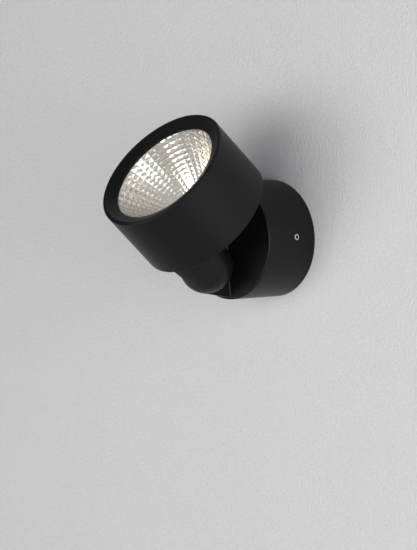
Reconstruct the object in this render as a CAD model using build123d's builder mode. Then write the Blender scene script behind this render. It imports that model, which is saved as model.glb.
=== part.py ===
from build123d import *

import os
from math import asin, atan2, cos, degrees, hypot, radians, sin, sqrt, tan

# Pivoting spotlight wall light. Millimetres, +Z up, the wall is the plane Y = 0 and the lamp
# stands out from it towards -Y. The origin is the middle of the wall bracket's back face.

# Base casing: a round die-cast cup that covers the wall bracket
base_diameter = 83.0
base_depth = 45.1
base_wall = 3.0
base_front_wall = 4.0
base_rim_round = 1.0

# Head casing: a round die-cast can, open at the front
head_diameter = 100.0
head_length = 52.0
head_wall = 4.0
head_back_wall = 3.5
head_rim_round = 0.6

# Knuckle: each casing carries half of a tapered boss with a ball end, split on the plane X = 0
ball_diameter = 37.8
boss_half_angle = 9.2
boss_length = 22.4
boss_wall = 3.0
base_boss_margin = 1.5
head_boss_margin = 0.8
boss_overlap = 1.0
boss_edge_round = 0.5
boss_foot_round = 0.8
mating_wall = 3.5
mating_gap = 0.6
upper_stop_gap = 0.5
tilt_travel = 125.0

# Pivot hardware
tube_diameter = 10.0
tube_bore = 7.0
tube_end = 1.0
nut_width = 14.0
nut_thickness = 5.0
nut_chamfer_angle = 30.0
thread_clearance = 0.05
running_clearance = 0.05
washer_clearance = 0.1
spring_washer_diameter = 17.0
spring_washer_thickness = 0.8
spring_washer_cone = 0.4
stop_pin_diameter = 3.0
stop_pin_circle = 22.0
stop_pin_angle = 90.0
stop_clearance = 0.3

# Front ring, glass and gasket
ring_seat_wall = 1.5
ring_length = 11.5
ring_clearance = 0.2
ring_skirt_wall = 2.2
ring_flange = 4.0
ring_lip = 0.6
ring_rim = 1.0
ring_edge_round = 0.3
ring_face_width = 8.1
glass_thickness = 2.0
glass_clearance = 0.2
glass_edge = 0.4
gasket_thickness = 0.5
gasket_inset = 1.0

# Light engine
heat_sink_thickness = 3.0
heat_sink_clearance = 0.2
fin_count = 24
fin_thickness = 1.6
fin_height = 12.0
fin_inner_diameter = 56.0
fin_edge_gap = 1.8
pad_thickness = 0.5
board_size = 19.0
board_thickness = 1.2
board_corner = 0.75
board_clearance = 0.2
emitter_diameter = 15.0
emitter_thickness = 0.6
emitter_edge = 0.3
holder_diameter = 34.0
holder_lug_margin = 0.5
holder_roof = 0.9
holder_opening = 18.4
collar_wall = 1.2
collar_height = 0.8
collar_clearance = 0.1

# Reflector: flat facets in spokes and rings on a parabola
reflector_throat = 28.0
mouth_overhang = 0.3
reflector_neck = 1.0
reflector_wall = 1.2
reflector_flange = 1.2
facet_spokes = 45
facet_rings = 14
facet_turn = 3.0

# Wall bracket and the parts on it
bracket_thickness = 2.0
bracket_clearance = 1.0
bend_radius = 1.5
ear_width = 16.0
ear_reach = 6.0
grub_diameter = 5.0
grub_length = 8.0
grub_socket = 2.5
grub_socket_depth = 3.0
grub_chamfer = 0.5
grub_recess = 0.4
grub_from_wall = 17.4
slot_length = 10.0
slot_width = 5.0
slot_margin = 2.1
grommet_bore = 10.0
grommet_seat = 14.0
grommet_flange = 18.0
grommet_flange_thickness = 1.5
grommet_lip = 1.5
layout_gap = 2.0
driver_width = 34.0
driver_height = 14.0
driver_depth = 20.0
driver_corner = 1.5
driver_edge = 0.75
foot_margin = 0.6
driver_foot_thickness = 2.0
terminal_width = 24.0
terminal_height = 12.0
terminal_depth = 14.0
terminal_shoulder = 9.3
terminal_wire_height = 4.7
terminal_poles = 3
terminal_screw_diameter = 4.0
terminal_wire_hole = 3.4
earth_offset = 21.0

# Small screws: shank diameter, head diameter, head height
small_screw = 3.0
small_head = 5.4
small_head_height = 1.8
large_screw = 4.0
large_head = 7.0
large_head_height = 2.4
screw_clearance = 0.1
head_edge = 0.5
drive_recess = 0.8
drive_slot = 0.9
sink_screw_circle = 43.0
sink_screw_depth = 2.5
wire_hole_diameter = 7.0
wire_hole_circle = 45.0
wire_hole_angle = -67.0
bushing_flange = 10.0
bushing_flange_thickness = 1.2
bushing_bore = 4.4

# Derived sizes
base_radius = base_diameter / 2
head_radius = head_diameter / 2
ball_radius = ball_diameter / 2
tube_radius = tube_diameter / 2
stop_pin_radius = stop_pin_circle / 2
sink_screw_radius = sink_screw_circle / 2
wire_hole_radius = wire_hole_circle / 2
taper = radians(boss_half_angle)
root_radius = ball_radius / cos(taper) + boss_length * tan(taper)
pivot_drop = base_radius - base_boss_margin - root_radius
head_rise = head_radius - head_boss_margin - root_radius
half_gap = mating_gap / 2
mating_face = half_gap + mating_wall

# At rest the head is tilted up until its back face is one stop gap from the base's rounded rim
rim_back = boss_length + base_rim_round
rim_up = base_radius + pivot_drop - base_rim_round
rim_reach = boss_length - upper_stop_gap - base_rim_round
rest_tilt = degrees(atan2(rim_back, rim_up) + asin(rim_reach / hypot(rim_back, rim_up)))

# Frames: x to the right, y up across the piece, z out along its axis
across = (1, 0, 0)
outward = Vector(0, -1, 0)
aim = outward.rotate(Axis.X, -rest_tilt)
pivot = Vector(0, -(base_depth + boss_length), -pivot_drop)
wall_plane = Plane(origin=(0, 0, 0), x_dir=across, z_dir=outward)
pivot_plane = Plane(origin=pivot, x_dir=(0, 1, 0), z_dir=across)
head_pivot_plane = Plane(origin=pivot, x_dir=across, z_dir=aim)
head_origin = head_pivot_plane.from_local_coords(Vector(0, head_rise, boss_length))
head_plane = Plane(origin=head_origin, x_dir=across, z_dir=aim)

os.makedirs("parts", exist_ok=True)


def finish(builder, name):
    """Label a finished piece and write it to its own file."""
    builder.part.label = name
    export_step(builder.part, f"parts/{name}.step")


def boss_form(axis_direction, radius, reach):
    """A ball about the pivot that runs tangent into a cone opening along the boss's axis."""
    profile_plane = Plane(origin=pivot, x_dir=across, z_dir=Vector(*across).cross(axis_direction))
    end_radius = radius / cos(taper) + reach * tan(taper)
    with BuildPart() as form:
        with BuildSketch(profile_plane):
            with BuildLine():
                ball = CenterArc((0, 0), radius, -90, 90 - boss_half_angle)
                side = Line(ball @ 1, (end_radius, reach))
                end = Line(side @ 1, (0, reach))
                Line(end @ 1, ball @ 0)
            make_face()
        revolve(axis=Axis(pivot, axis_direction))
    return form.part


def half_boss(axis_direction, reach, side):
    """The outer half boss, flat on its mating face and rounded along the edge of that face."""
    keep = Keep.TOP if side > 0 else Keep.BOTTOM
    with BuildPart() as half:
        add(boss_form(axis_direction, ball_radius, reach))
        split(bisect_by=Plane.YZ.offset(side * half_gap), keep=keep)
        rim = half.edges().filter_by_position(Axis.X, side * half_gap, side * half_gap)
        fillet(rim.sort_by(lambda edge: (edge.center() - pivot).dot(axis_direction))[:-1], boss_edge_round)
    return half.part


def half_hollow(axis_direction, reach, side):
    """The space inside a half boss, which leaves the mating wall and joins the casing's inside."""
    keep = Keep.TOP if side > 0 else Keep.BOTTOM
    with BuildPart() as hollow:
        add(boss_form(axis_direction, ball_radius - boss_wall, reach))
        split(bisect_by=Plane.YZ.offset(side * mating_face), keep=keep)
    return hollow.part


# The base casing has its half of the boss on the left, the head casing on the right
base_boss = half_boss(-outward, boss_length + boss_overlap, -1)
base_hollow = half_hollow(-outward, boss_length + base_front_wall + boss_overlap, -1)
head_boss = half_boss(aim, boss_length + boss_overlap, 1)
head_hollow = half_hollow(aim, boss_length + head_back_wall + boss_overlap, 1)

# Base casing
with BuildPart() as base_housing:
    with BuildSketch(wall_plane):
        Circle(base_radius)
    extrude(amount=base_depth)
    fillet(base_housing.edges().filter_by(GeomType.CIRCLE).sort_by(Axis.Y)[0], base_rim_round)
    with BuildSketch(wall_plane):
        Circle(base_radius - base_wall)
    extrude(amount=base_depth - base_front_wall, mode=Mode.SUBTRACT)
    add(base_boss)
    foot = base_housing.edges().filter_by(Axis.Z).filter_by_position(Axis.Y, -base_depth, -base_depth)
    fillet(foot, boss_foot_round)
    add(base_hollow, mode=Mode.SUBTRACT)
    with BuildSketch(pivot_plane):
        Circle(tube_radius + thread_clearance)
        with PolarLocations(stop_pin_radius, 1, start_angle=stop_pin_angle):
            Circle(stop_pin_diameter / 2)
    extrude(amount=-(mating_face + boss_overlap), mode=Mode.SUBTRACT)
    with BuildSketch(Plane.YZ):
        with Locations((-grub_from_wall, 0)):
            Circle(grub_diameter / 2 + thread_clearance)
    extrude(amount=base_radius, both=True, mode=Mode.SUBTRACT)
finish(base_housing, "base_housing")

# Wall bracket: a steel plate with two slots, a hole for the cable and two ears bent forward
bracket_radius = base_radius - base_wall - bracket_clearance
ear_face = base_radius - grub_recess - grub_length
ear_middle = ear_face - bracket_thickness / 2
slot_place = ear_face - bracket_thickness - slot_margin - slot_length / 2
driver_place = grommet_flange / 2 + layout_gap + driver_height / 2
driver_foot = small_head + 2 * foot_margin
driver_screw_place = driver_width / 2 + driver_foot / 2
terminal_place = -(grommet_flange / 2 + layout_gap + terminal_height / 2)
earth_place = (earth_offset, terminal_place)
with BuildPart() as wall_bracket:
    with BuildSketch(wall_plane):
        Circle(bracket_radius)
        Rectangle(2 * ear_face, 2 * bracket_radius, mode=Mode.INTERSECT)
        Circle(grommet_seat / 2, mode=Mode.SUBTRACT)
        with Locations((slot_place, 0), (-slot_place, 0)):
            SlotOverall(slot_length, slot_width, mode=Mode.SUBTRACT)
    extrude(amount=bracket_thickness)
    with BuildSketch(wall_plane):
        with Locations((ear_middle, 0), (-ear_middle, 0)):
            Rectangle(bracket_thickness, ear_width)
    extrude(amount=grub_from_wall + ear_reach)
    corners = wall_bracket.edges().filter_by(Axis.Z)
    inner_bends = corners.filter_by_position(Axis.Y, -bracket_thickness, -bracket_thickness)
    fillet(inner_bends, bend_radius)
    with BuildSketch(wall_plane.offset(bracket_thickness)):
        with Locations((driver_screw_place, driver_place), (-driver_screw_place, driver_place)):
            Circle(small_screw / 2)
        with Locations(earth_place):
            Circle(large_screw / 2)
    extrude(amount=-bracket_thickness, mode=Mode.SUBTRACT)
finish(wall_bracket, "wall_bracket")

# Grub screws: flush in the side of the base casing, with their points on the bracket's ears
with BuildPart() as grub_screws:
    with BuildSketch(Plane.YZ.offset(ear_face)):
        with Locations((-grub_from_wall, 0)):
            Circle(grub_diameter / 2)
    extrude(amount=grub_length)
    chamfer(grub_screws.edges().filter_by(GeomType.CIRCLE), grub_chamfer)
    with BuildSketch(Plane.YZ.offset(ear_face + grub_length)):
        with Locations((-grub_from_wall, 0)):
            RegularPolygon(grub_socket / 2, 6, major_radius=False)
    extrude(amount=-grub_socket_depth, mode=Mode.SUBTRACT)
    mirror(about=Plane.YZ)
finish(grub_screws, "grub_screws")

# Cable grommet in the bracket's centre hole
with BuildPart() as cable_grommet:
    with BuildSketch(wall_plane):
        Circle(grommet_seat / 2)
    extrude(amount=bracket_thickness + grommet_flange_thickness + grommet_lip)
    with BuildSketch(wall_plane.offset(bracket_thickness)):
        Circle(grommet_flange / 2)
    extrude(amount=grommet_flange_thickness)
    with BuildSketch(wall_plane):
        Circle(grommet_bore / 2)
    extrude(amount=bracket_thickness + grommet_flange_thickness + grommet_lip, mode=Mode.SUBTRACT)
finish(cable_grommet, "cable_grommet")

# Driver: a moulded case with a foot on each side
with BuildPart() as led_driver:
    with BuildSketch(wall_plane.offset(bracket_thickness)):
        with Locations((0, driver_place)):
            Rectangle(driver_width, driver_height)
    extrude(amount=driver_depth)
    fillet(led_driver.edges().filter_by(Axis.Y), driver_corner)
    chamfer(led_driver.faces().sort_by(Axis.Y)[0].edges(), driver_edge)
    with BuildSketch(wall_plane.offset(bracket_thickness)):
        with Locations((0, driver_place)):
            SlotOverall(driver_width + 2 * driver_foot, driver_foot)
        with Locations((driver_screw_place, driver_place), (-driver_screw_place, driver_place)):
            Circle(small_screw / 2 + screw_clearance, mode=Mode.SUBTRACT)
    extrude(amount=driver_foot_thickness)
finish(led_driver, "led_driver")


def slotted_screw(seat_plane, places, shank, head, head_height, shank_length):
    """Pan-head screws with a driving slot, seated on the plane, with their shanks behind it."""
    with BuildPart() as screws:
        with BuildSketch(seat_plane):
            with Locations(*places):
                Circle(shank / 2)
        extrude(amount=-shank_length)
        with BuildSketch(seat_plane):
            with Locations(*places):
                Circle(head / 2)
        extrude(amount=head_height)
        rims = screws.edges().filter_by(GeomType.CIRCLE)
        chamfer(rims.group_by(Axis(seat_plane.origin, seat_plane.z_dir))[-1], head_edge)
        with BuildSketch(seat_plane.offset(head_height)):
            with Locations(*places):
                Rectangle(head, drive_slot)
        extrude(amount=-drive_recess, mode=Mode.SUBTRACT)
    return screws


driver_seat = wall_plane.offset(bracket_thickness + driver_foot_thickness)
driver_places = [(driver_screw_place, driver_place), (-driver_screw_place, driver_place)]
driver_screw_length = bracket_thickness + driver_foot_thickness
driver_screws = slotted_screw(
    driver_seat, driver_places, small_screw, small_head, small_head_height, driver_screw_length
)
finish(driver_screws, "driver_screws")

earth_seat = wall_plane.offset(bracket_thickness)
earth_screw = slotted_screw(
    earth_seat, [earth_place], large_screw, large_head, large_head_height, bracket_thickness
)
finish(earth_screw, "earth_screw")

# Terminal block: one tower for each pole, with a wire hole through it and a clamping screw
pole_pitch = terminal_width / terminal_poles
with BuildPart() as terminal_block:
    with BuildSketch(wall_plane.offset(bracket_thickness)):
        with Locations((0, terminal_place)):
            Rectangle(terminal_width, terminal_height)
    extrude(amount=terminal_shoulder)
    with BuildSketch(wall_plane.offset(bracket_thickness)):
        with Locations((0, terminal_place)):
            with GridLocations(pole_pitch, 0, terminal_poles, 1):
                Circle(pole_pitch / 2 - screw_clearance)
    extrude(amount=terminal_depth)
    with BuildSketch(wall_plane.offset(bracket_thickness + terminal_depth)):
        with Locations((0, terminal_place)):
            with GridLocations(pole_pitch, 0, terminal_poles, 1):
                Circle(terminal_screw_diameter / 2 + screw_clearance)
    extrude(amount=-(terminal_depth - terminal_wire_height), mode=Mode.SUBTRACT)
    with BuildSketch(Plane.XY.offset(terminal_place)):
        with Locations((0, -(bracket_thickness + terminal_wire_height))):
            with GridLocations(pole_pitch, 0, terminal_poles, 1):
                Circle(terminal_wire_hole / 2)
    extrude(amount=terminal_height, both=True, mode=Mode.SUBTRACT)
finish(terminal_block, "terminal_block")

clamp_top = terminal_depth - drive_recess
clamp_bottom = terminal_wire_height + terminal_wire_hole / 2
with BuildPart() as terminal_screws:
    with BuildSketch(wall_plane.offset(bracket_thickness + clamp_bottom)):
        with Locations((0, terminal_place)):
            with GridLocations(pole_pitch, 0, terminal_poles, 1):
                Circle(terminal_screw_diameter / 2)
    extrude(amount=clamp_top - clamp_bottom)
    with BuildSketch(wall_plane.offset(bracket_thickness + clamp_top)):
        with Locations((0, terminal_place)):
            with GridLocations(pole_pitch, 0, terminal_poles, 1):
                Rectangle(terminal_screw_diameter, drive_slot)
    extrude(amount=-drive_recess, mode=Mode.SUBTRACT)
finish(terminal_screws, "terminal_screws")

# Pivot tube: a hollow threaded tube that the wires pass through, held by a nut at each end
head_nut_seat = mating_face + washer_clearance + spring_washer_thickness + spring_washer_cone
tube_right = head_nut_seat + nut_thickness + tube_end
tube_left = mating_face + nut_thickness + tube_end
with BuildPart() as pivot_tube:
    with BuildSketch(pivot_plane.offset(-tube_left)):
        Circle(tube_radius)
        Circle(tube_bore / 2, mode=Mode.SUBTRACT)
    extrude(amount=tube_left + tube_right)
    chamfer(pivot_tube.edges().filter_by(GeomType.CIRCLE).group_by(SortBy.RADIUS)[-1], tube_end / 2)
finish(pivot_tube, "pivot_tube")


def pivot_nut(seat):
    """A thin hexagon nut on the pivot tube, with the corners of both faces turned away."""
    corner = nut_width / sqrt(3)
    turned = (corner - nut_width / 2) * tan(radians(nut_chamfer_angle))
    with BuildPart() as nut:
        with BuildSketch(pivot_plane.offset(seat)):
            RegularPolygon(nut_width / 2, 6, major_radius=False)
        extrude(amount=nut_thickness)
        with BuildSketch(Plane(origin=pivot, x_dir=across, z_dir=(0, 0, 1))):
            with BuildLine():
                Polyline(
                    (seat, 0),
                    (seat, nut_width / 2),
                    (seat + turned, corner),
                    (seat + nut_thickness - turned, corner),
                    (seat + nut_thickness, nut_width / 2),
                    (seat + nut_thickness, 0),
                    close=True,
                )
            make_face()
        revolve(axis=Axis(pivot, across), mode=Mode.INTERSECT)
        with BuildSketch(pivot_plane.offset(seat)):
            Circle(tube_radius + thread_clearance)
        extrude(amount=nut_thickness, mode=Mode.SUBTRACT)
    return nut


base_pivot_nut = pivot_nut(-mating_face - nut_thickness)
finish(base_pivot_nut, "base_pivot_nut")
head_pivot_nut = pivot_nut(head_nut_seat)
finish(head_pivot_nut, "head_pivot_nut")

# Friction washer between the two mating faces
friction_washer_radius = stop_pin_radius - stop_pin_diameter / 2 - stop_clearance
with BuildPart() as friction_washer:
    with BuildSketch(pivot_plane.offset(-half_gap)):
        Circle(friction_washer_radius)
        Circle(tube_radius + thread_clearance, mode=Mode.SUBTRACT)
    extrude(amount=mating_gap - washer_clearance)
finish(friction_washer, "friction_washer")

# Spring washer: a shallow cone that keeps the friction joint tight under the head's nut
spring_seat = mating_face + washer_clearance
spring_inner = tube_radius + thread_clearance
spring_outer = spring_washer_diameter / 2
with BuildPart() as spring_washer:
    with BuildSketch(Plane(origin=pivot, x_dir=across, z_dir=(0, 0, 1))):
        with BuildLine():
            Polyline(
                (spring_seat, spring_outer),
                (spring_seat + spring_washer_thickness, spring_outer),
                (head_nut_seat, spring_inner),
                (head_nut_seat - spring_washer_thickness, spring_inner),
                close=True,
            )
        make_face()
    revolve(axis=Axis(pivot, across))
finish(spring_washer, "spring_washer")

# Stop pin: pressed into the base's mating wall, it runs in an arc slot in the head's
with BuildPart() as stop_pin:
    with BuildSketch(pivot_plane.offset(-mating_face)):
        with PolarLocations(stop_pin_radius, 1, start_angle=stop_pin_angle):
            Circle(stop_pin_diameter / 2)
    extrude(amount=mating_face + half_gap + mating_wall - stop_clearance)
    chamfer(stop_pin.edges().filter_by(GeomType.CIRCLE).sort_by(Axis.X)[-1], stop_clearance)
finish(stop_pin, "stop_pin")

# Head casing, with a seat for the front ring and an arc slot for the stop pin
ring_seat_radius = head_radius - ring_seat_wall
head_bore = head_radius - head_wall
sink_front = head_back_wall + heat_sink_thickness
sink_screw_angles = (90, 210, 330)
stop_arc = CenterArc((0, 0), stop_pin_radius, stop_pin_angle - tilt_travel, tilt_travel)
with BuildPart() as head_housing:
    with BuildSketch(head_plane):
        Circle(head_radius)
    extrude(amount=head_length)
    fillet(head_housing.edges().filter_by(GeomType.CIRCLE), head_rim_round)
    with BuildSketch(head_plane.offset(head_back_wall)):
        Circle(head_bore)
    extrude(amount=head_length - head_back_wall, mode=Mode.SUBTRACT)
    with BuildSketch(head_plane.offset(head_length - ring_length)):
        Circle(ring_seat_radius)
    extrude(amount=ring_length, mode=Mode.SUBTRACT)
    add(head_boss)
    add(head_hollow, mode=Mode.SUBTRACT)
    with BuildSketch(pivot_plane):
        Circle(tube_radius + running_clearance)
        SlotArc(stop_arc, stop_pin_diameter + 2 * stop_clearance)
    extrude(amount=mating_face + boss_overlap, mode=Mode.SUBTRACT)
    with BuildSketch(head_plane.offset(head_back_wall)):
        with PolarLocations(sink_screw_radius, len(sink_screw_angles), start_angle=sink_screw_angles[0]):
            Circle(large_screw / 2 + screw_clearance)
    extrude(amount=-sink_screw_depth, mode=Mode.SUBTRACT)
finish(head_housing, "head_housing")

# Front ring: a dished flange round the opening and a skirt that screws into the casing
ring_outer = ring_seat_radius - ring_clearance
ring_inner = ring_outer - ring_skirt_wall
opening_radius = ring_outer - ring_face_width
flange_back = head_length - ring_flange
with BuildPart() as front_ring:
    with BuildSketch(head_plane.offset(head_length - ring_length)):
        Circle(ring_outer)
    extrude(amount=ring_length)
    front_edge = front_ring.edges().filter_by(GeomType.CIRCLE).group_by(Axis(head_origin, aim))[-1]
    chamfer(front_edge, ring_edge_round)
    with BuildSketch(head_plane.offset(head_length - ring_length)):
        Circle(ring_inner)
    extrude(amount=ring_length - ring_flange, mode=Mode.SUBTRACT)
    with BuildSketch(head_plane.offset(flange_back)):
        Circle(opening_radius)
    extrude(amount=ring_flange, mode=Mode.SUBTRACT)
    with BuildSketch(head_plane.offset(flange_back + ring_lip)):
        Circle(opening_radius)
    with BuildSketch(head_plane.offset(head_length)):
        Circle(ring_outer - ring_rim)
    loft(mode=Mode.SUBTRACT)
finish(front_ring, "front_ring")

# Glass and the gasket between it and the ring's flange
glass_radius = ring_inner - glass_clearance
glass_front = flange_back - gasket_thickness
with BuildPart() as glass_gasket:
    with BuildSketch(head_plane.offset(glass_front)):
        Circle(glass_radius)
        Circle(opening_radius + gasket_inset, mode=Mode.SUBTRACT)
    extrude(amount=gasket_thickness)
finish(glass_gasket, "glass_gasket")

with BuildPart() as front_glass:
    with BuildSketch(head_plane.offset(glass_front - glass_thickness)):
        Circle(glass_radius)
    extrude(amount=glass_thickness)
    chamfer(front_glass.edges().filter_by(GeomType.CIRCLE), glass_edge)
finish(front_glass, "front_glass")

# Sizes that the heat sink, the holder and the reflector share
throat_radius = reflector_throat / 2
throat_outer = throat_radius + reflector_wall
collar_radius = throat_outer + collar_clearance + collar_wall
holder_screw_radius = collar_radius + small_head / 2 + holder_lug_margin

# Heat sink: a disc on the casing's back wall, with fins round the reflector's throat
sink_radius = head_bore - heat_sink_clearance
fin_inner_radius = fin_inner_diameter / 2
fin_outer_radius = sink_radius - fin_edge_gap
with BuildPart() as heat_sink:
    with BuildSketch(head_plane.offset(head_back_wall)):
        Circle(sink_radius)
    extrude(amount=heat_sink_thickness)
    with BuildSketch(head_plane.offset(sink_front)):
        with PolarLocations((fin_inner_radius + fin_outer_radius) / 2, fin_count):
            Rectangle(fin_outer_radius - fin_inner_radius, fin_thickness)
    extrude(amount=fin_height)
    with BuildSketch(head_plane.offset(sink_front)):
        with PolarLocations(sink_screw_radius, len(sink_screw_angles), start_angle=sink_screw_angles[0]):
            Circle(large_screw / 2 + screw_clearance)
        with PolarLocations(wire_hole_radius, 1, start_angle=wire_hole_angle):
            Circle(wire_hole_diameter / 2)
        with PolarLocations(holder_screw_radius, 2):
            Circle(small_screw / 2 + screw_clearance)
    extrude(amount=-heat_sink_thickness, mode=Mode.SUBTRACT)
finish(heat_sink, "heat_sink")

sink_places = [
    (sink_screw_radius * cos(radians(angle)), sink_screw_radius * sin(radians(angle)))
    for angle in sink_screw_angles
]
sink_screw_length = heat_sink_thickness + sink_screw_depth - screw_clearance
sink_seat = head_plane.offset(sink_front)
heat_sink_screws = slotted_screw(
    sink_seat, sink_places, large_screw, large_head, large_head_height, sink_screw_length
)
finish(heat_sink_screws, "heat_sink_screws")

# Rubber bushing where the wires pass through the heat sink
with BuildPart() as wire_bushing:
    with BuildSketch(head_plane.offset(head_back_wall)):
        with PolarLocations(wire_hole_radius, 1, start_angle=wire_hole_angle):
            Circle(wire_hole_diameter / 2)
    extrude(amount=heat_sink_thickness)
    with BuildSketch(head_plane.offset(sink_front)):
        with PolarLocations(wire_hole_radius, 1, start_angle=wire_hole_angle):
            Circle(bushing_flange / 2)
    extrude(amount=bushing_flange_thickness)
    with BuildSketch(head_plane.offset(head_back_wall)):
        with PolarLocations(wire_hole_radius, 1, start_angle=wire_hole_angle):
            Circle(bushing_bore / 2)
    extrude(amount=heat_sink_thickness + bushing_flange_thickness, mode=Mode.SUBTRACT)
finish(wire_bushing, "wire_bushing")

# Light source: thermal pad, circuit board, and the round field that glows
with BuildPart() as thermal_pad:
    with BuildSketch(head_plane.offset(sink_front)):
        Rectangle(board_size, board_size)
    extrude(amount=pad_thickness)
finish(thermal_pad, "thermal_pad")

board_front = sink_front + pad_thickness + board_thickness
with BuildPart() as led_board:
    with BuildSketch(head_plane.offset(sink_front + pad_thickness)):
        RectangleRounded(board_size, board_size, board_corner)
    extrude(amount=board_thickness)
finish(led_board, "led_board")

with BuildPart() as led_emitter:
    with BuildSketch(head_plane.offset(board_front)):
        Circle(emitter_diameter / 2)
    extrude(amount=emitter_thickness)
    emitter_rims = led_emitter.edges().filter_by(GeomType.CIRCLE)
    chamfer(emitter_rims.group_by(Axis(head_origin, aim))[-1], emitter_edge)
finish(led_emitter, "led_emitter")

# Holder: clamps the board to the heat sink and locates the reflector's throat in its collar
holder_front = board_front + holder_roof
pocket = board_size + 2 * board_clearance
with BuildPart() as led_holder:
    with BuildSketch(head_plane.offset(sink_front)):
        Circle(holder_diameter / 2)
        SlotCenterToCenter(2 * holder_screw_radius, small_head + 2 * holder_lug_margin)
    extrude(amount=holder_front - sink_front)
    with BuildSketch(head_plane.offset(holder_front)):
        Circle(collar_radius)
        Circle(throat_outer + collar_clearance, mode=Mode.SUBTRACT)
    extrude(amount=collar_height)
    with BuildSketch(head_plane.offset(sink_front)):
        Rectangle(pocket, pocket)
    extrude(amount=board_front - sink_front, mode=Mode.SUBTRACT)
    with BuildSketch(head_plane.offset(board_front)):
        Circle(holder_opening / 2)
    extrude(amount=holder_roof, mode=Mode.SUBTRACT)
    with BuildSketch(head_plane.offset(sink_front)):
        with PolarLocations(holder_screw_radius, 2):
            Circle(small_screw / 2 + screw_clearance)
    extrude(amount=holder_front - sink_front, mode=Mode.SUBTRACT)
finish(led_holder, "led_holder")

holder_places = [(holder_screw_radius, 0), (-holder_screw_radius, 0)]
holder_screw_length = holder_front - sink_front + heat_sink_thickness
holder_seat = head_plane.offset(holder_front)
holder_screws = slotted_screw(
    holder_seat, holder_places, small_screw, small_head, small_head_height, holder_screw_length
)
finish(holder_screws, "holder_screws")

# Reflector: the radius grows with the square root of the height, and each ring of facets is a
# band of flat faces between two regular polygons
reflector_back = holder_front
reflector_front = glass_front - glass_thickness
bowl_back = reflector_back + reflector_neck
bowl_height = reflector_front - bowl_back
mouth_radius = opening_radius + mouth_overhang
ring_radii = [
    throat_radius + (mouth_radius - throat_radius) * ring / facet_rings
    for ring in range(facet_rings + 1)
]
ring_heights = [
    bowl_height * (radius**2 - throat_radius**2) / (mouth_radius**2 - throat_radius**2)
    for radius in ring_radii
]
with BuildPart() as reflector:
    with BuildSketch(Plane(origin=head_origin, x_dir=across, z_dir=Vector(*across).cross(aim))):
        with BuildLine():
            outside = Polyline(
                (throat_outer, reflector_back),
                *[
                    (radius + reflector_wall, bowl_back + height)
                    for radius, height in zip(ring_radii, ring_heights)
                ],
            )
            Polyline(outside @ 1, (0, reflector_front), (0, reflector_back), outside @ 0)
        make_face()
    revolve(axis=Axis(head_origin, aim))
    with BuildSketch(head_plane.offset(reflector_front - reflector_flange)):
        Circle(glass_radius)
    extrude(amount=reflector_flange)
    for radius, height in zip(ring_radii, ring_heights):
        with BuildSketch(head_plane.offset(bowl_back + height)):
            RegularPolygon(radius, facet_spokes, rotation=facet_turn)
    loft(ruled=True, mode=Mode.SUBTRACT)
    with BuildSketch(head_plane.offset(reflector_back)):
        RegularPolygon(throat_radius, facet_spokes, rotation=facet_turn)
    extrude(amount=reflector_neck, mode=Mode.SUBTRACT)
finish(reflector, "reflector")

print("rest tilt", round(rest_tilt, 3), "pivot", [round(value, 3) for value in pivot])
print("head origin", [round(value, 3) for value in head_origin], "root radius", round(root_radius, 3))
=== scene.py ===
from math import cos, radians, sin, tau

import bpy
import numpy as np
from mathutils import Matrix


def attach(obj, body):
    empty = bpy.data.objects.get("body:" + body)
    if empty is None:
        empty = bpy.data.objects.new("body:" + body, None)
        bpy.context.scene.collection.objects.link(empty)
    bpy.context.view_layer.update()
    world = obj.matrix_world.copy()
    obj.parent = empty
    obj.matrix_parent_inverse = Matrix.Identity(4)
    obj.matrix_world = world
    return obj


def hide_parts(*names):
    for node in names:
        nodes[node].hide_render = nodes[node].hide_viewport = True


# The pivoting spotlight wall light, dressed over its packed construction. Metres, +Z up, the
# wall is the plane Y = 0 and the lamp stands out from it towards -Y.
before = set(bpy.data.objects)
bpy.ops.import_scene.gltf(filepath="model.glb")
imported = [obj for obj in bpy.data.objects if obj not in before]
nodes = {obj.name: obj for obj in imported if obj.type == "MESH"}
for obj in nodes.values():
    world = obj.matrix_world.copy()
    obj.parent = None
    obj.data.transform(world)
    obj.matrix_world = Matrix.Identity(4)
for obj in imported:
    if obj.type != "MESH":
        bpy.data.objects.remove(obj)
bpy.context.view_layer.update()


# Wall bracket: 2 mm sheet steel, punched, bent and bright zinc plated, screwed to the wall
# through its two slots. The plating is a little cloudy and lightly brushed by handling.
class Signal:
    """A shader node's output, used as a number: each operator adds one Math node."""

    def __init__(self, socket):
        self.socket = socket

    def math(self, operation, *terms):
        tree = self.socket.id_data
        node = tree.nodes.new("ShaderNodeMath")
        node.operation = operation
        for place, term in zip(node.inputs, terms):
            if isinstance(term, Signal):
                tree.links.new(term.socket, place)
            else:
                place.default_value = term
        return Signal(node.outputs[0])

    def __add__(self, other):
        return self.math("ADD", self, other)

    def __mul__(self, other):
        return self.math("MULTIPLY", self, other)

    def __rsub__(self, other):
        return self.math("SUBTRACT", other, self)

    __radd__ = __add__
    __rmul__ = __mul__


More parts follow.
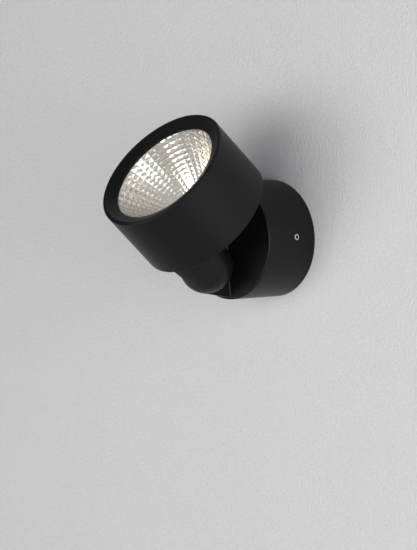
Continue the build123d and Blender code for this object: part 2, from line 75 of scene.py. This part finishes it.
class Finish:
    """A procedural material: one Principled surface, and the nodes that vary it."""

    def __init__(self, name, **constants):
        self.material = bpy.data.materials.new(name)
        self.material.use_nodes = True
        self.tree = self.material.node_tree
        self.surface = self.tree.nodes["Principled BSDF"]
        self.output = self.tree.nodes["Material Output"]
        self.set(self.surface, constants)
        self.place = self.add("TexCoord", output="Object")

    def set(self, node, sockets):
        """Gives a node's sockets their values or links. A space in a name is written as _."""
        for name, value in sockets.items():
            place = next(s for s in node.inputs if s.enabled and s.name == name.replace("_", " "))
            if isinstance(value, Signal):
                self.tree.links.new(value.socket, place)
            else:
                place.default_value = value

    def add(self, kind, settings=None, output=None, **sockets):
        """Adds any node: its settings first, then its sockets. The result is one output."""
        node = self.tree.nodes.new("ShaderNode" + kind)
        for name, value in (settings or {}).items():
            setattr(node, name, value)
        self.set(node, sockets)
        found = [s for s in node.outputs if s.enabled and s.name == (output or s.name)]
        return Signal(found[0])

    def noise(self, wavelength, detail=2.0, stretch=(1, 1, 1), **sockets):
        """Noise from 0 to 1 whose lumps measure about one wavelength, in metres."""
        place = self.add("Mapping", Vector=self.place, Scale=tuple(s / wavelength for s in stretch))
        return self.add("TexNoise", output="Fac", Vector=place, Scale=1.0, Detail=detail, **sockets)

    def blend(self, share, first, second):
        """A colour between two colours."""
        return self.add("Mix", {"data_type": "RGBA"}, Factor=share, A=first, B=second)

    def relief(self, height, depth, normal=None):
        """A bump as deep as depth, in metres, where height goes from 0 to 1."""
        below = {"Normal": normal} if normal else {}
        return self.add("Bump", Strength=1.0, Distance=depth, Height=height, **below)

    def vary(self, **sockets):
        """What changes over the surface."""
        self.set(self.surface, sockets)

    def dress(self, *names):
        """Puts the finish on the CAD nodes of these names."""
        for name in names:
            materials = nodes[name].data.materials
            materials.clear()
            materials.append(self.material)


def grey(level):
    """A plain grey colour."""
    return (level, level, level, 1.0)


zinc_cloud_size = 0.009
zinc_brush_width = 0.00035
zinc_brush_depth = 0.000004
zinc_blue = (0.56, 0.58, 0.60, 1)
zinc_yellow = (0.70, 0.70, 0.66, 1)
zinc = Finish("zinc_plate", Metallic=1.0)
cloud = zinc.noise(zinc_cloud_size, detail=4.0)
brushing = zinc.noise(zinc_brush_width, stretch=(1, 1, 0.04))
zinc.vary(
    Base_Color=zinc.blend(cloud, zinc_blue, zinc_yellow),
    Roughness=0.26 + 0.16 * cloud + 0.08 * brushing,
    Normal=zinc.relief(brushing, zinc_brush_depth),
)
zinc.dress("wall_bracket", "driver_screws", "pivot_tube", "base_pivot_nut", "head_pivot_nut")


# Cable grommet and wire bushing: moulded black rubber, pushed into their holes. The skin is
# matte, with a soft grain and a paler bloom in patches.
bloom_size = 0.004
rubber_grain_size = 0.0004
rubber_grain_depth = 0.00001
rubber = Finish("black_rubber", Specular_IOR_Level=0.35)
bloom = rubber.noise(bloom_size, detail=5.0)
rubber.vary(
    Base_Color=rubber.blend(bloom, grey(0.012), grey(0.030)),
    Roughness=0.62 + 0.2 * bloom,
    Normal=rubber.relief(rubber.noise(rubber_grain_size), rubber_grain_depth),
)
rubber.dress("cable_grommet", "wire_bushing")


# Driver, terminal block and LED holder: white moulded plastic with a fine spark-eroded grain,
# each held by its own screws.
shade_size = 0.012
gloss_patch_size = 0.0012
spark_grain_size = 0.00045
spark_grain_depth = 0.000012
plastic_dark = (0.74, 0.73, 0.70, 1)
plastic_light = (0.82, 0.82, 0.80, 1)
plastic = Finish("white_plastic")
plastic.vary(
    Base_Color=plastic.blend(plastic.noise(shade_size), plastic_dark, plastic_light),
    Roughness=0.40 + 0.12 * plastic.noise(gloss_patch_size),
    Normal=plastic.relief(plastic.noise(spark_grain_size), spark_grain_depth),
)
plastic.dress("led_driver", "terminal_block", "led_holder")


# Terminal screws and earth screw: turned brass, with fine rings from the tool and a slightly
# tarnished tone in patches.
tarnish_size = 0.0025
turning_pitch = 0.0002
turning_depth = 0.000003
brass_brown = (0.72, 0.50, 0.20, 1)
brass_yellow = (0.86, 0.66, 0.32, 1)
brass = Finish("brass", Metallic=1.0)
tarnish = brass.noise(tarnish_size, detail=4.0)
turning = brass.noise(turning_pitch, stretch=(1, 1, 0.2))
brass.vary(
    Base_Color=brass.blend(tarnish, brass_brown, brass_yellow),
    Roughness=0.24 + 0.2 * tarnish,
    Normal=brass.relief(turning, turning_depth),
)
brass.dress("terminal_screws", "earth_screw")


# Base casing, head casing and front ring: die-cast aluminium with a smooth matte black powder
# coat. The coat flows into a very low orange peel, with a fine dry grain on top.
coat_peel_size = 0.0022
coat_grain_size = 0.00035
coat_patch_size = 0.02
coat_depth = 0.000006
coat = Finish("black_powder_coat", Specular_IOR_Level=0.2)
peel = coat.noise(coat_peel_size)
grain = coat.noise(coat_grain_size)
thickness = coat.noise(coat_patch_size, detail=3.0)
coat.vary(
    Base_Color=coat.blend(thickness, grey(0.0035), grey(0.0045)),
    Roughness=0.36 + 0.04 * thickness + 0.05 * grain,
    Normal=coat.relief(grain, coat_depth, coat.relief(peel, coat_depth)),
)
coat.dress("base_housing", "head_housing", "front_ring")


# Stop pin, spring washer and the small screws in the head: plain stainless steel, turned and
# left bright, with a faint lathe pattern.
lathe_pitch = 0.0003
lathe_depth = 0.000003
lathe_stretch = (0.3, 1, 1)
steel_patch_size = 0.003
steel_dark = (0.60, 0.59, 0.57, 1)
steel_light = (0.72, 0.71, 0.69, 1)
steel = Finish("stainless_steel", Metallic=1.0)
lathe = steel.noise(lathe_pitch, stretch=lathe_stretch)
steel.vary(
    Base_Color=steel.blend(steel.noise(steel_patch_size), steel_dark, steel_light),
    Roughness=0.22 + 0.16 * lathe,
    Normal=steel.relief(lathe, lathe_depth),
)
steel.dress("stop_pin", "spring_washer", "heat_sink_screws", "holder_screws")


# Grub screws: the same steel, polished on the outer face and round its edge, with a hexagon
# socket whose colour is painted dark as the shade that falls inside the recess.
socket_start = 0.0002
socket_full = 0.0005
scratch_depth = 0.000002
polished_steel = (0.90, 0.89, 0.87, 1)
screw_face = float(np.abs(np.array(nodes["grub_screws"].bound_box)[:, 0]).max())
screw_steel = Finish("grub_screw_steel", Metallic=1.0)
sideways = screw_steel.add("SeparateXYZ", output="X", Vector=screw_steel.place)
depth = screw_face - sideways.math("ABSOLUTE", sideways)
# Painted shade: deeper into the socket, the colour goes from polished steel to near black, and the
# surface gets rougher.
socket_shade_mask = screw_steel.add("MapRange", Value=depth, From_Min=socket_start, From_Max=socket_full)
scratch = screw_steel.noise(lathe_pitch, stretch=lathe_stretch)
screw_steel.vary(
    Base_Color=screw_steel.blend(socket_shade_mask, polished_steel, grey(0.03)),
    Roughness=0.24 + 0.1 * scratch + 0.3 * socket_shade_mask,
    Normal=screw_steel.relief(scratch, scratch_depth),
)
screw_steel.dress("grub_screws")


# Friction washer: low-friction bearing plastic between the two mating faces of the knuckle.
wear_size = 0.0015
wear_depth = 0.000006
bearing_dark = (0.62, 0.60, 0.54, 1)
bearing_light = (0.74, 0.73, 0.68, 1)
bearing = Finish("bearing_plastic")
wear = bearing.noise(wear_size, detail=4.0)
bearing.vary(
    Base_Color=bearing.blend(wear, bearing_dark, bearing_light),
    Roughness=0.34 + 0.2 * wear,
    Normal=bearing.relief(wear, wear_depth),
)
bearing.dress("friction_washer")


# Heat sink: plain cast aluminium, its face skimmed flat, the fins left as cast.
skin_size = 0.0009
skin_depth = 0.00002
casting_patch_size = 0.01
casting_dark = (0.50, 0.51, 0.52, 1)
casting_light = (0.64, 0.65, 0.66, 1)
casting = Finish("cast_aluminium", Metallic=1.0)
skin = casting.noise(skin_size, detail=4.0)
casting.vary(
    Base_Color=casting.blend(casting.noise(casting_patch_size), casting_dark, casting_light),
    Roughness=0.42 + 0.2 * skin,
    Normal=casting.relief(skin, skin_depth),
)
casting.dress("heat_sink")


# LED board: a metal-core board under a glossy white solder mask, screwed down on its pad.
mask_patch_size = 0.003
mask_gloss_size = 0.0006
mask_dark = (0.70, 0.70, 0.66, 1)
mask_light = (0.80, 0.80, 0.77, 1)
mask = Finish("white_solder_mask", Coat_Weight=0.3)
mask.vary(
    Base_Color=mask.blend(mask.noise(mask_patch_size), mask_dark, mask_light),
    Roughness=0.30 + 0.1 * mask.noise(mask_gloss_size),
)
mask.dress("led_board")


# Thermal pad and glass gasket: soft grey silicone, cut from sheet, with a slightly cloudy skin.
haze_size = 0.002
haze_depth = 0.000008
silicone = Finish("grey_silicone", Specular_IOR_Level=0.4)
haze = silicone.noise(haze_size, detail=3.0)
silicone.vary(
    Base_Color=silicone.blend(haze, grey(0.24), grey(0.36)),
    Roughness=0.5 + 0.15 * haze,
    Normal=silicone.relief(haze, haze_depth),
)
silicone.dress("thermal_pad", "glass_gasket")


# LED: a round field of yellow phosphor resin, lit and warm.
glow_strength = 9.0
cell_size = 0.0011
resin_colours = (0.80, 0.55, 0.16, 1), (0.95, 0.76, 0.34, 1)
glow_colours = (1.0, 0.66, 0.26, 1), (1.0, 0.80, 0.42, 1)
phosphor = Finish("lit_phosphor", Emission_Strength=glow_strength)
cells = phosphor.noise(cell_size, detail=1.0)
phosphor.vary(
    Base_Color=phosphor.blend(cells, *resin_colours),
    Emission_Color=phosphor.blend(cells, *glow_colours),
    Roughness=0.45 + 0.1 * cells,
)
phosphor.dress("led_emitter")


# Reflector: moulded plastic with a bright metallised inside. Its bowl is divided by spokes and
# rings into cushions, each a little domed towards the light.
def corners(name):
    """The corners of a CAD node as the rows of an array."""
    mesh = nodes[name].data
    flat = np.empty(3 * len(mesh.vertices), np.float32)
    mesh.vertices.foreach_get("co", flat)
    return flat.reshape(-1, 3).astype(float)


glass_points = corners("front_glass")
glass_middle = (glass_points.min(0) + glass_points.max(0)) / 2
aim = np.linalg.svd(glass_points - glass_points.mean(0), full_matrices=False)[2][-1]
aim = aim * -np.sign(aim[1])
across = np.array([1.0, 0.0, 0.0])
rise = np.cross(aim, across)


def span(name):
    """How far a CAD node reaches along the head's axis, from the middle of the glass."""
    along = (corners(name) - glass_middle) @ aim
    return along.min(), along.max()


reflector_back, reflector_front = span("reflector")
reflector_points = corners("reflector") - glass_middle
reach = np.hypot(reflector_points @ across, reflector_points @ rise)
flange_radius = reach.max()
throat_radius = reach.min()
mouth_radius = 0.0405
neck_length = 0.001
wall_thickness = 0.0012
spoke_count = 45
ring_count = 14
first_spoke = radians(3.0)
cushion_steps = 6
cushion_depth = 0.05


def reflector_grid():
    """Corners of the reflector, row by row from the throat, up the bowl, over the flange and
    back down the outside.

    The bowl's radius grows evenly and its height with the square of the radius. Each cell is
    pushed towards the axis by its width x cushion_depth x (1 - u^2)(1 - v^2), where u and v
    go from -1 to 1 across the cell.
    """
    turn = np.arange(spoke_count * cushion_steps) * tau / (spoke_count * cushion_steps)
    climb = np.linspace(0, 1, ring_count * cushion_steps + 1)
    radius = throat_radius + (mouth_radius - throat_radius) * climb
    bowl_back = reflector_back + neck_length
    rate = (reflector_front - bowl_back) / (mouth_radius**2 - throat_radius**2)
    height = bowl_back + rate * (radius**2 - throat_radius**2)
    u = 2 * (turn * spoke_count / tau % 1) - 1
    v = 2 * (climb * ring_count % 1) - 1
    dome = (1 - v[:, None] ** 2) * (1 - u[None, :] ** 2)
    push = cushion_depth * tau / spoke_count * radius[:, None] * dome
    slope = 2 * rate * radius
    length = np.sqrt(1 + slope**2)
    bowl_radius = radius[:, None] - push * (slope / length)[:, None]
    bowl_height = height[:, None] + push * (1 / length)[:, None]
    outer_radius = radius[::-cushion_steps] + wall_thickness
    outer_height = np.minimum(height[::-cushion_steps], reflector_front - wall_thickness)
    rest_radius = [flange_radius, flange_radius, *outer_radius, throat_radius + wall_thickness]
    rest_height = [reflector_front, reflector_front - wall_thickness, *outer_height, reflector_back]
    smooth_radius = np.array([*rest_radius, throat_radius])[:, None] + np.zeros(len(turn))
    smooth_height = np.array([*rest_height, reflector_back])[:, None] + np.zeros(len(turn))
    all_radius = np.vstack([bowl_radius, smooth_radius])
    all_height = np.vstack([bowl_height, smooth_height])
    angle = (turn + first_spoke)[:, None]
    outward = np.cos(angle) * across + np.sin(angle) * rise
    return glass_middle + all_height[..., None] * aim + all_radius[..., None] * outward


def closed_mesh(name, grid, sharp_row, sharp_column, last_bowl_row):
    """A closed skin over a grid that wraps round both ways.

    Edges that run along a row marked sharp keep their crease. So do those along a column
    marked sharp, as far as the last row of the bowl.
    """
    rows, columns = grid.shape[:2]
    index = np.arange(rows * columns).reshape(rows, columns)
    right = np.roll(index, -1, 1)
    faces = np.stack([index, right, np.roll(right, -1, 0), np.roll(index, -1, 0)], -1)
    faces = faces.reshape(-1, 4)
    mesh = bpy.data.meshes.new(name)
    mesh.from_pydata(grid.reshape(-1, 3).tolist(), [], faces.tolist())
    ends = np.empty(2 * len(mesh.edges), np.int32)
    mesh.edges.foreach_get("vertices", ends)
    row, column = np.divmod(ends.reshape(-1, 2), columns)
    along_row = (row[:, 0] == row[:, 1]) & sharp_row[row[:, 0]]
    along_column = (column[:, 0] == column[:, 1]) & sharp_column[column[:, 0]]
    in_bowl = (row <= last_bowl_row).all(1)
    crease = mesh.attributes.new("sharp_edge", "BOOLEAN", "EDGE")
    crease.data.foreach_set("value", along_row | (along_column & in_bowl))
    piece = bpy.data.objects.new(name, mesh)
    bpy.context.scene.collection.objects.link(piece)
    return piece


bowl = reflector_grid()
row_number = np.arange(bowl.shape[0])
mouth_row = ring_count * cushion_steps
sharp_row = (row_number % cushion_steps == 0) | (row_number > mouth_row)
sharp_column = np.arange(bowl.shape[1]) % cushion_steps == 0
reflector = closed_mesh("reflector_faceted", bowl, sharp_row, sharp_column, mouth_row)
fog_size = 0.006
mirror_dark = (0.78, 0.73, 0.66, 1)
mirror_light = (0.88, 0.83, 0.77, 1)
mirror = Finish("metallised_bowl", Metallic=1.0)
fog = mirror.noise(fog_size, detail=3.0)
mirror.vary(
    Base_Color=mirror.blend(fog, mirror_dark, mirror_light),
    Roughness=0.03 + 0.04 * fog,
)
reflector.data.materials.append(mirror.material)
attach(reflector, "head")
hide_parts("reflector")


# Front glass: clear tempered float glass, 2 mm, clamped between the reflector's flange and the
# gasket by the front ring. Its tone wanders a little, as float glass does.
glass_index = 1.5
tone_size = 0.03
smear_size = 0.01
glass_green = (0.96, 0.98, 0.97, 1)
glass_clear = (0.98, 0.99, 0.985, 1)
glass = Finish("clear_glass", Transmission_Weight=1.0, IOR=glass_index)
glass.vary(
    Base_Color=glass.blend(glass.noise(tone_size), glass_green, glass_clear),
    Roughness=0.002 * glass.noise(smear_size),
)
glass.dress("front_glass")


# Wall: matte plaster under white paint, rolled on, with a fine grain. It shows from the front
# only. Its hole behind the base keeps it clear of the bracket's back.
wall_gap = 0.0001
wall_reach = 1.2
wall_hole = 0.0405
wall_sides = 96
roller_size = 0.0016
roller_depth = 0.0006
plaster = Finish("painted_plaster", Specular_IOR_Level=0.2)
roller = plaster.noise(roller_size, detail=3.0, stretch=(1, 1, 0.7))
plaster.vary(
    Base_Color=plaster.blend(roller, grey(0.575), grey(0.595)),
    Roughness=0.8 + 0.1 * roller,
    Normal=plaster.relief(roller, roller_depth),
)


def one_sided(finish):
    """Lets the camera and the light pass where the surface is seen from behind."""
    back = finish.add("NewGeometry", output="Backfacing")
    clear = finish.add("BsdfTransparent")
    both = finish.tree.nodes.new("ShaderNodeMixShader")
    for place, signal in zip(both.inputs, (back.socket, finish.surface.outputs[0], clear.socket)):
        finish.tree.links.new(signal, place)
    finish.tree.links.new(both.outputs[0], finish.output.inputs["Surface"])


def stage_sheet(name, points, faces, finish):
    """A flat sheet for the set, from its points and faces as the rows of two arrays."""
    mesh = bpy.data.meshes.new(name)
    mesh.from_pydata(points.tolist(), [], faces.tolist())
    mesh.materials.append(finish.material)
    sheet = bpy.data.objects.new(name, mesh)
    bpy.context.scene.collection.objects.link(sheet)
    one_sided(finish)


wall_angle = np.arange(wall_sides) * tau / wall_sides
circle = np.stack([np.cos(wall_angle), np.zeros(wall_sides), np.sin(wall_angle)], 1)
rims = np.vstack([circle * wall_reach, circle * wall_hole]) + (0.0, wall_gap, 0.0)
here = np.arange(wall_sides)
after = np.roll(here, -1)
rim_faces = np.stack([here, after, wall_sides + after, wall_sides + here], 1)
stage_sheet("wall", rims, rim_faces, plaster)


# Floor: plain pale paint, well below the lamp. It shows from above only.
floor_drop = 0.62
speck_size = 0.02
paint = Finish("pale_floor", Specular_IOR_Level=0.2)
speck = paint.noise(speck_size, detail=3.0)
paint.vary(
    Base_Color=paint.blend(speck, grey(0.60), grey(0.64)),
    Roughness=0.7 + 0.1 * speck,
)
floor_corners = np.array(
    [
        [-wall_reach, wall_gap, -floor_drop],
        [-wall_reach, -wall_reach, -floor_drop],
        [wall_reach, -wall_reach, -floor_drop],
        [wall_reach, wall_gap, -floor_drop],
    ]
)
stage_sheet("floor", floor_corners, np.array([[0, 1, 2, 3]]), paint)


# Lamps: six soft square ones. The key is straight in front, one is at its lower left, and four
# are on the right, where they soften the shadow. Three are kept out of the bowl's reflections.
lamp_target = np.array([0.0, -0.06, 0.0])


def softbox(name, place, size, power, colour=(1, 1, 1), through_glass=True):
    """A square lamp that faces the target. Without through_glass, what is behind the front
    glass doesn't mirror it."""
    data = bpy.data.lights.new(name, "AREA")
    data.shape, data.size, data.energy, data.color = "SQUARE", size, power, colour
    lamp = bpy.data.objects.new(name, data)
    lamp.visible_transmission = through_glass
    back = np.array(place) - lamp_target
    back = back / np.linalg.norm(back)
    right = np.cross((0, 0, 1), back)
    right = right / np.linalg.norm(right)
    turn = Matrix(np.stack([right, np.cross(back, right), back], 1).tolist())
    lamp.matrix_world = Matrix.Translation(place) @ turn.to_4x4()
    bpy.context.scene.collection.objects.link(lamp)


softbox("key", (0.0, -1.859, 0.063), 0.9, 9.5)
softbox("left", (-0.725, -1.688, -0.251), 0.9, 9.6, through_glass=False)
softbox("front", (1.2, -2.138, 0.0), 1.6, 19.9, through_glass=False)
softbox("right", (2.247, -0.878, 0.209), 1.6, 12.3, colour=(0.95, 0.99, 1.12))
softbox("side", (1.576, -0.338, 0.0), 0.8, 8.2)
softbox("side_low", (1.47, -0.538, -0.414), 0.8, 5.8, through_glass=False)


# Room: the pale space round the set. It shows to the camera and behind the glass, and weakly in
# gloss, but hardly lights the object.
room_level = 0.6
room_light = 0.005
room_in_glass = 0.42
room_in_gloss = 0.15
room = bpy.data.worlds.new("room")
room.use_nodes = True
ray = room.node_tree.nodes.new("ShaderNodeLightPath")
by_camera = Signal(ray.outputs["Is Camera Ray"])
by_glass = Signal(ray.outputs["Is Transmission Ray"])
by_gloss = Signal(ray.outputs["Is Glossy Ray"])
shown = room_light + room_level * by_camera + room_in_glass * by_glass + room_in_gloss * by_gloss
air = room.node_tree.nodes["Background"]
air.inputs["Color"].default_value = grey(1.0)
room.node_tree.links.new(shown.socket, air.inputs["Strength"])
bpy.context.scene.world = room


# Camera: right of the wall light and level with it, through a long lens, leaning by a few
# degrees.
view_azimuth = radians(46.2581)
view_elevation = radians(0.7955)
view_roll = radians(-3.0676)
lens_mm = 216.92
sensor_mm = 36.0
origin_in_view = np.array([0.046126, 0.026356, -2.36357])
right = np.array([cos(view_azimuth), sin(view_azimuth), 0.0])
back = np.array(
    [
        sin(view_azimuth) * cos(view_elevation),
        -cos(view_azimuth) * cos(view_elevation),
        sin(view_elevation),
    ]
)
up = np.cross(back, right)
leaning = np.stack(
    [
        cos(view_roll) * right + sin(view_roll) * up,
        cos(view_roll) * up - sin(view_roll) * right,
        back,
    ],
    1,
)
camera_data = bpy.data.cameras.new("camera")
camera_data.lens = lens_mm
camera_data.sensor_width = sensor_mm
camera_data.clip_start, camera_data.clip_end = 0.1, 20.0
camera = bpy.data.objects.new("camera", camera_data)
camera_place = Matrix.Translation(-(leaning @ origin_in_view))
camera.matrix_world = camera_place @ Matrix(leaning.tolist()).to_4x4()
bpy.context.scene.collection.objects.link(camera)
bpy.context.scene.camera = camera
bpy.context.scene.view_settings.view_transform = "Standard"
